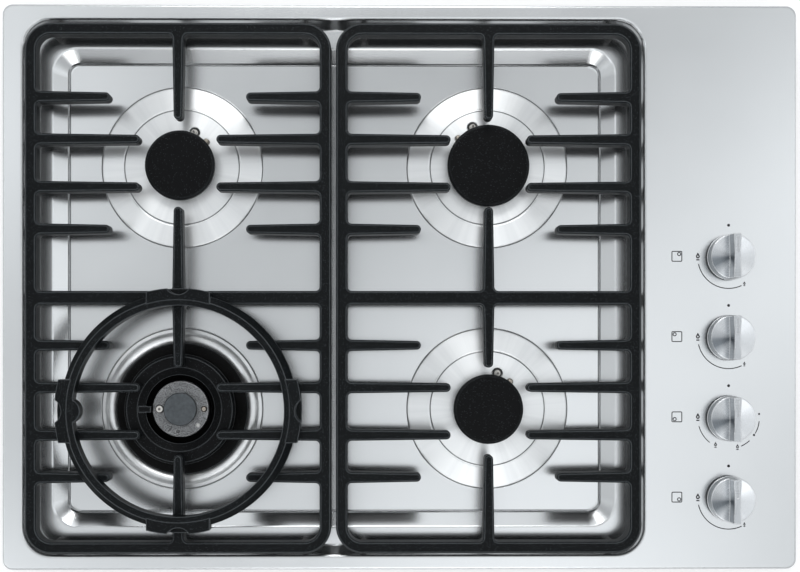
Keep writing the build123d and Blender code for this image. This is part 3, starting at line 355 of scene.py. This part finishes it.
def ceramic_pin(name, neck_height, middle):
    material, skin, place = finish_of(name, (0.78, 0.76, 0.71), 0.35)
    height = texture(material, "SeparateXYZ", "Z", Vector=place)
    flat = calc_vector(material, "MULTIPLY", calc_vector(material, "SUBTRACT", place, middle), (1, 1, 0))
    reach = calc_vector(material, "LENGTH", flat, output=1)
    steel = calc(material, "GREATER_THAN", height, neck_height)
    bush = calc(material, "GREATER_THAN", reach, pin_radius)
    dust = grain(material, place, 900, 3)
    white = blend_colours(material, dust, (0.70, 0.68, 0.63, 1), (0.86, 0.85, 0.81, 1))
    bushed = blend_colours(material, bush, white, (0.05, 0.05, 0.052, 1))
    plug(material, skin.inputs["Base Color"], blend_colours(material, steel, bushed, (0.16, 0.155, 0.15, 1)))
    plug(material, skin.inputs["Metallic"], steel)
    relief(material, skin, dust, 0.00005, 0.4)
    return material


for spot in ("rear_left", "rear_right", "front_right", "wok"):
    pin = f"electrode_{spot}"
    tip = wok_tip_height if spot == "wok" else tip_height
    dress(ceramic_pin(f"ceramic_{spot}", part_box(pin)[1].z - tip, middle_of(pin)), pin)

tanned = casting("tanned_steel", (0.42, 0.38, 0.33), 0.35, 1600, 0.00003)
dress(tanned, *[n for n in solids if n.startswith("flame_sensor")])

# %% [markdown]
# ## Knobs
# A knob is turned aluminium with a clear satin finish. Its face shows the same rays as the
# discs, because the tool went round the axis, and it is a little hollow, so its two halves
# mirror different parts of the room; rays of painted highlight and shade lie in its colour too.
# The grip bar was milled along its length, so its grain runs straight, and its top is darker.
# A painted highlight runs along every edge, and the steep sides are darker as painted shade.
# The knob turns, and a vector written in Object coordinates has to turn with it: a Vector
# Transform node carries the tangent from the object to the world. The photograph shows one
# dark wedge on the left of each face. Its cause in the room isn't known, so it is painted shade
# in the metal's colour here, and it turns with the knob.


# %% Turned aluminium, one material for each knob's axis
face_height = panel + 0.0158
face_radius, hollow_depth = 0.0214, 0.0011


def turned_knob(number, axis):
    material, skin, place = finish_of(f"knob_metal_{number}", (0.6, 0.62, 0.64), 0.25, 1.0, Anisotropic=0.8)
    away = calc_vector(material, "MULTIPLY", calc_vector(material, "SUBTRACT", place, (axis.x, axis.y, 0)), (1, 1, 0))
    distance = calc_vector(material, "LENGTH", away, output=1)
    turn = material.node_tree.nodes.new("ShaderNodeVectorTransform")
    turn.vector_type, turn.convert_from, turn.convert_to = "VECTOR", "OBJECT", "WORLD"
    height = texture(material, "SeparateXYZ", "Z", Vector=place)
    on_grip = calc(material, "GREATER_THAN", height, face_height + 0.0008)
    on_face = calc(material, "SUBTRACT", 1, on_grip)
    outward = calc_vector(material, "NORMALIZE", away)
    radial = calc_vector(material, "SCALE", outward, on_face)
    straight = calc_vector(material, "SCALE", (1, 0, 0), on_grip)
    plug(material, turn.inputs[0], calc_vector(material, "ADD", radial, straight))
    plug(material, skin.inputs["Tangent"], turn.outputs[0])
    rings = grain(material, calc_vector(material, "SCALE", (1, 0, 0), distance), 3500, 2)
    painted_rays = grain(material, calc_vector(material, "SCALE", outward, 2.4), 1.0, 1)
    edges, near = round_edges(material, 0.0013)
    # painted shade: a dark wedge on the left of the face
    left = calc_vector(material, "DOT_PRODUCT", outward, (-0.96, -0.28, 0), output=1)
    painted_wedge_shade = calc(material, "POWER", calc(material, "MAXIMUM", left, 0), 6)
    normal = material.node_tree.nodes.new("ShaderNodeTexCoord").outputs["Normal"]
    facing = texture(material, "SeparateXYZ", "Z", Vector=normal)
    # painted shade: the steeper the surface, the darker its colour
    painted_flank_shade = texture(material, "MapRange", "Result", Value=facing,
                    From_Min=0.9, From_Max=0.3, To_Min=0, To_Max=0.75)
    painted_face_shade = calc(material, "MULTIPLY", calc(material, "MULTIPLY", painted_wedge_shade, 0.95), on_face)
    dark_grip = calc(material, "MULTIPLY", on_grip, 0.35)
    shade = calc(material, "SUBTRACT", between(material, painted_rays, 0.7, 1.1),
                 calc(material, "ADD", calc(material, "ADD", painted_face_shade, dark_grip), painted_flank_shade))
    tone = blend_colours(material, shade, (0.2, 0.22, 0.24, 1), (0.86, 0.88, 0.90, 1))
    # painted highlight: a pale line along every edge
    plug(material, skin.inputs["Base Color"],
         blend_colours(material, calc(material, "MULTIPLY", near, 14), tone, (0.98, 0.99, 1.0, 1)))
    plug(material, skin.inputs["Roughness"], between(material, rings, 0.22, 0.34))
    bowl = calc(material, "POWER", calc(material, "DIVIDE", distance, face_radius), 2)
    hollow_face = texture(material, "Bump", "Normal", Distance=hollow_depth, Strength=1.0, Normal=edges,
                          Height=bowl)
    relief(material, skin, rings, 0.00001, 0.3, hollow_face)
    return material


for number, axis in enumerate(knobs, start=1):
    dress(turned_knob(number, axis), f"knob_{number}")

# %% [markdown]
# ## Everything below the worktop
# The box is galvanised sheet, whose zinc shows as faint flakes, so a Voronoi pattern gives
# each flake its own tone. The taps are die cast, the plugs and injectors are brass, the rail
# and the small steel parts are plated, the tubes are plain aluminium, and rubber, foam and
# plastic are dull and black. None of this shows in the photograph, but it does from below.


# %% Zinc, brass, plated steel, rubber and plastic
def zinc():
    material, skin, place = finish_of("zinc_sheet", (0.60, 0.61, 0.62), 0.45, 1.0)
    flakes = texture(material, "TexVoronoi", "Color", Vector=place, Scale=110)
    tone = texture(material, "SeparateColor", "Red", Color=flakes)
    plug(material, skin.inputs["Base Color"],
         blend_colours(material, tone, (0.50, 0.51, 0.52, 1), (0.68, 0.69, 0.70, 1)))
    plug(material, skin.inputs["Roughness"], between(material, tone, 0.38, 0.55))
    relief(material, skin, grain(material, place, 300, 3), 0.00005, 0.3)
    return material


def dull(name, colour, roughness, size):
    material, skin, place = finish_of(name, colour, roughness)
    fine = grain(material, place, size, 3)
    plug(material, skin.inputs["Base Color"],
         blend_colours(material, fine, (*[c * 0.7 for c in colour], 1), (*[c * 1.5 for c in colour], 1)))
    plug(material, skin.inputs["Roughness"], between(material, fine, roughness - 0.1, roughness + 0.1))
    relief(material, skin, fine, 0.0002, 0.4)
    return material


dress(zinc(), "box_floor", "box_walls")
dress(casting("brass", (0.72, 0.52, 0.24), 0.3, 1200, 0.00004), "injectors",
      *[n for n in solids if n.startswith("tap_plug")])
dress(casting("die_cast", (0.50, 0.50, 0.51), 0.45, 600, 0.0001), *[f"tap_{n}" for n in (1, 2, 3, 4)])
dress(casting("plated_steel", (0.55, 0.55, 0.54), 0.3, 900, 0.00003), "gas_rail", "gas_inlet",
      "worktop_clamps", "screws", *[f"spindle_{n}" for n in (1, 2, 3, 4)])
dress(casting("tube_metal", (0.60, 0.60, 0.61), 0.35, 500, 0.00004), *[n for n in solids if n.startswith("gas_tube")])
dress(dull("rubber", (0.02, 0.02, 0.02), 0.7, 700), "knob_seals", "grate_feet_left", "grate_feet_right")
dress(dull("foam", (0.035, 0.035, 0.036), 0.85, 1400), "flange_seal")
dress(dull("black_plastic", (0.03, 0.03, 0.031), 0.45, 900), "ignition_module", "terminal_box", "cable_gland")

# %% [markdown]
# ## Printing on the control panel
# Each knob has a dot for off behind it, an arc that grows round it, and small flames for the
# highest and the lowest setting. A sign on the left shows which burner the knob belongs to.
# Ink could be painted with a mask in the steel's material, but such thin lines need an exact
# edge. So the ink is real: flat pieces, a twentieth of a millimetre thick, on the panel. A
# bmesh is the mesh while it is being edited, and its operators are those of Edit Mode.


# %% Helpers for ink
ink_height = 0.00005


def raise_ink(bm, faces):
    """Give flat faces their thickness, with closed sides and a closed underside."""
    bmesh.ops.solidify(bm, geom=faces, thickness=ink_height)


def dot(bm, x, y, radius, segments=20):
    """A filled disc."""
    made = bmesh.ops.create_circle(bm, cap_ends=True, segments=segments, radius=radius,
                                   matrix=Matrix.Translation((x, y, panel + ink_height)))
    return made["verts"]


def hollow(bm, verts, line):
    """Turn a filled outline into a line of the given width."""
    faces = list({f for v in verts for f in v.link_faces})
    bmesh.ops.inset_region(bm, faces=faces, thickness=line, use_even_offset=True, use_boundary=True)
    bmesh.ops.delete(bm, geom=faces, context="FACES_ONLY")


def arc(bm, x, y, radius, width, start, turn):
    """A curved line round (x, y); angles in degrees, from the right, counter-clockwise."""
    a = math.radians(start)
    ends = [bm.verts.new((x + r * math.cos(a), y + r * math.sin(a), panel + ink_height))
            for r in (radius - width / 2, radius + width / 2)]
    edge = bm.edges.new(ends)
    bmesh.ops.spin(bm, geom=[*ends, edge], cent=(x, y, 0), axis=(0, 0, 1),
                   angle=math.radians(turn), steps=max(8, int(abs(turn) / 5)))


def flame(bm, x, y, size, line):
    """A drop with its point to the rear, drawn as a line, over a short base."""
    drop = dot(bm, x, y, size / 2, 24)
    for v in drop:
        up = (v.co.y - y) / (size / 2)
        if up > 0:
            v.co.x = x + (v.co.x - x) * (1 - 0.75 * up)
            v.co.y = y + (v.co.y - y) * 1.75
        else:
            v.co.x = x + (v.co.x - x) * 0.92
    hollow(bm, drop, line)
    bmesh.ops.create_grid(bm, x_segments=1, y_segments=1, size=0.5, matrix=Matrix.Translation(
        (x, y - size * 0.82, panel + ink_height)) @ Matrix.Diagonal((size * 0.75, line, 1, 1)))


def burner_sign(bm, x, y, size, line, corner):
    """A rounded square with a small ring in the corner of its burner."""
    made = bmesh.ops.create_grid(bm, x_segments=1, y_segments=1, size=size / 2,
                                 matrix=Matrix.Translation((x, y, panel + ink_height)))
    made = bmesh.ops.bevel(bm, geom=made["verts"], offset=size * 0.13, segments=4, profile=0.5,
                           affect="VERTICES", material=-1)
    hollow(bm, made["verts"], line)
    ring = dot(bm, x + corner[0] * size * 0.21, y + corner[1] * size * 0.21, size * 0.19)
    hollow(bm, ring, line)


def ink_piece(bm, name):
    """Close the ink, make it an object and let it ride on the cooktop."""
    raise_ink(bm, bm.faces[:])
    bmesh.ops.remove_doubles(bm, verts=bm.verts, dist=1e-7)
    bmesh.ops.recalc_face_normals(bm, faces=bm.faces)
    piece_of(bm, name, ink)


def piece_of(bm, name, material, body="hob"):
    """Make an object of the finished mesh and let it ride on one body."""
    data = bpy.data.meshes.new(name)
    bm.to_mesh(data)
    bm.free()
    data.materials.append(material)
    piece = bpy.data.objects.new(name, data)
    bpy.context.scene.collection.objects.link(piece)
    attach(piece, body)
    print(name, "faces", len(data.polygons))


ink = dull("ink", (0.012, 0.013, 0.015), 0.55, 2500)

# %% Ink round each knob
arc_radius, dot_lift = 0.0296, 0.0311
arc_line = 0.0009
large_flame, middle_flame, small_flame = (0.0041, 0.0012), (0.0030, 0.0009), (0.0024, 0.0008)
sign_left, sign_lift, sign_size, sign_line = 0.0498, 0.0012, 0.0104, 0.0009
corners = [(1, 1), (-1, 1), (-1, -1), (1, -1)]
for number, axis in enumerate(knobs, start=1):
    bm = bmesh.new()
    dot(bm, axis.x, axis.y + dot_lift, 0.0014)
    flame(bm, axis.x - arc_radius, axis.y + sign_lift, *large_flame)
    if number == 3:
        arc(bm, axis.x, axis.y, arc_radius, 0.0008, 195, 37)
        flame(bm, axis.x - 0.0126, axis.y - 0.0256, *middle_flame)
        flame(bm, axis.x + 0.0086, axis.y - 0.0277, *middle_flame)
        arc(bm, axis.x, axis.y, arc_radius, arc_line, 294, 19)
        dot(bm, axis.x + 0.0245, axis.y - 0.0163, 0.0011)
        arc(bm, axis.x, axis.y, arc_radius, arc_line, 330, 24)
        dot(bm, axis.x + 0.0294, axis.y + 0.0039, 0.0010)
    else:
        arc(bm, axis.x, axis.y, arc_radius, arc_line, 192, 103)
        flame(bm, axis.x + 0.0152, axis.y - 0.0250, *small_flame)
    burner_sign(bm, axis.x - sign_left, axis.y + sign_lift, sign_size, sign_line, corners[number - 1])
    ink_piece(bm, f"panel_print_{number}")

# %% [markdown]
# ## Camera
# The photograph was taken from straight above, and its middle lies a little right of and
# behind the point below the lens, as after a crop. Tilting the camera to centre the cooktop
# would tilt its verticals too. The right way is a shift: the lens stays as it was and only the
# frame slides. Where the verticals of the knobs and grates meet gives the point below the
# lens. The camera also leans by half a degree, which the shift takes back at the middle.

# %% Camera over the cooktop
camera_data = bpy.data.cameras.new("camera")
camera = bpy.data.objects.new("camera", camera_data)
bpy.context.scene.collection.objects.link(camera)
bpy.context.scene.camera = camera
distance, frame_width = 1.15, 0.7668
below_lens = (-0.0244, -0.0602)
picture_middle = (-0.0005, 0.0012)
lean = math.radians(0.5)
camera.location = (*below_lens, panel + distance)
camera.rotation_euler = (0, -lean, 0)
camera_data.sensor_width = 36
camera_data.lens = 36 * distance / frame_width
camera_data.shift_x = (picture_middle[0] - below_lens[0] - distance * math.tan(lean)) / frame_width
camera_data.shift_y = (picture_middle[1] - below_lens[1]) / frame_width
print("lens", round(camera_data.lens, 2), "shift", round(camera_data.shift_x, 4), round(camera_data.shift_y, 4))

# %% [markdown]
# ## Light
# Steel has no colour of its own: it shows what stands round it. A plain white world would make
# it flat, and a lamp with a hard edge would draw that edge on the sheet. A photographer hangs
# white cloth over such a thing and lights it from behind, which gives soft glows with no edge.
# The world does the same here: each glow is a Gradient Texture that fades from its middle, and
# its place is given as seen from the cooktop, in metres to the right and to the rear at a
# height of one metre. Near the horizon the cloth is pale all round, as a backdrop is. A soft
# box behind and one in front draw the brightest rays on the discs.


# %% Glowing cloth overhead
world = bpy.data.worlds.new("world")
bpy.context.scene.world = world
world.use_nodes = True
direction = world.node_tree.nodes.new("ShaderNodeTexCoord").outputs["Generated"]
height = calc(world, "MAXIMUM", texture(world, "SeparateXYZ", "Z", Vector=direction), 0.02)
overhead = calc_vector(world, "SCALE", direction, calc(world, "DIVIDE", 1, height))
# each glow: metres to the right, metres to the rear, reach in metres, strength
glows = {
    "front left": (-0.5, -0.3, 0.4, 2.5),
    "front": (0.15, -0.3, 0.45, 1.5),
    "left": (-0.45, 0.2, 0.4, 1.5),
    "right": (0.5, 0.15, 0.4, 1.5),
    "middle": (0.15, 0.0, 0.3, 0.8),
    "far rear": (0.0, 1.5, 0.8, 1.0),
    "far right": (1.3, 0.0, 0.8, 1.3),
    "far left": (-1.3, 0.0, 0.8, 0.5),
}
light = 0.5
for x, y, radius, strength in glows.values():
    from_glow = calc_vector(world, "SUBTRACT", overhead, (x, y, 1))
    fade = world.node_tree.nodes.new("ShaderNodeTexGradient")
    fade.gradient_type = "QUADRATIC_SPHERE"
    plug(world, fade.inputs[0], calc_vector(world, "SCALE", from_glow, 1 / radius))
    light = calc(world, "ADD", light, calc(world, "MULTIPLY", fade.outputs["Fac"], strength))
low = texture(world, "MapRange", "Result", Value=height,
              From_Min=0.4, From_Max=0.03, To_Min=0, To_Max=0.4)
light = calc(world, "ADD", light, low)
cloth = world.node_tree.nodes["Background"]
cloth.inputs["Color"].default_value = (0.955, 0.98, 1.0, 1)
plug(world, cloth.inputs["Strength"], light)
print("glows", len(glows))


# %% Soft boxes behind and in front
def soft_box(name, place, width, depth, brightness):
    """An area lamp that faces the cooktop; brightness is what a mirror would show of it."""
    lamp = bpy.data.lights.new(name, "AREA")
    lamp.shape = "RECTANGLE"
    lamp.size, lamp.size_y = width, depth
    lamp.energy = brightness * math.pi * width * depth
    item = bpy.data.objects.new(name, lamp)
    bpy.context.scene.collection.objects.link(item)
    item.location = place
    item.rotation_euler = (-Vector(place)).to_track_quat("-Z", "Y").to_euler()


box_width, box_depth = 0.9, 0.5
soft_box("rear", (-0.05, 1.15, 1.65), box_width, box_depth, 5.0)
soft_box("front", (0.05, -1.15, 1.65), box_width, box_depth, 2.5)

# %% [markdown]
# ## Floor
# The cooktop stands on a pale floor that takes its shadow. To the camera, and in metal, the
# floor is plain white, as in the photograph, so its material gives off white to those rays
# and is an ordinary pale surface to all others. Its underside lets light through, so that the
# cooktop can also be looked at from below.

# %% Floor
floor_reach = 40
bm = bmesh.new()
bmesh.ops.create_grid(bm, x_segments=1, y_segments=1, size=floor_reach)
floor_mesh = bpy.data.meshes.new("floor")
bm.to_mesh(floor_mesh)
bm.free()
floor = bpy.data.objects.new("floor", floor_mesh)
bpy.context.scene.collection.objects.link(floor)
floor_finish, skin, place = finish_of("floor", (0.86, 0.86, 0.86), 0.7)
path = floor_finish.node_tree.nodes.new("ShaderNodeLightPath")
seen = calc(floor_finish, "MAXIMUM", path.outputs["Is Camera Ray"],
            calc(floor_finish, "MAXIMUM", path.outputs["Is Glossy Ray"], path.outputs["Is Transmission Ray"]))
shadow_kept = calc(floor_finish, "MULTIPLY", seen, 0.35)
plug(floor_finish, skin.inputs["Emission Strength"], shadow_kept)
skin.inputs["Emission Color"].default_value = (1, 1, 1, 1)
clear = floor_finish.node_tree.nodes.new("ShaderNodeBsdfTransparent")
underside = floor_finish.node_tree.nodes.new("ShaderNodeNewGeometry").outputs["Backfacing"]
from_below = floor_finish.node_tree.nodes.new("ShaderNodeMixShader")
plug(floor_finish, from_below.inputs[0], underside)
plug(floor_finish, from_below.inputs[1], skin.outputs[0])
plug(floor_finish, from_below.inputs[2], clear.outputs[0])
plug(floor_finish, floor_finish.node_tree.nodes["Material Output"].inputs["Surface"], from_below.outputs[0])
floor_mesh.materials.append(floor_finish)
bpy.context.scene.view_settings.view_transform = "Standard"
print("floor at", floor.location.z)
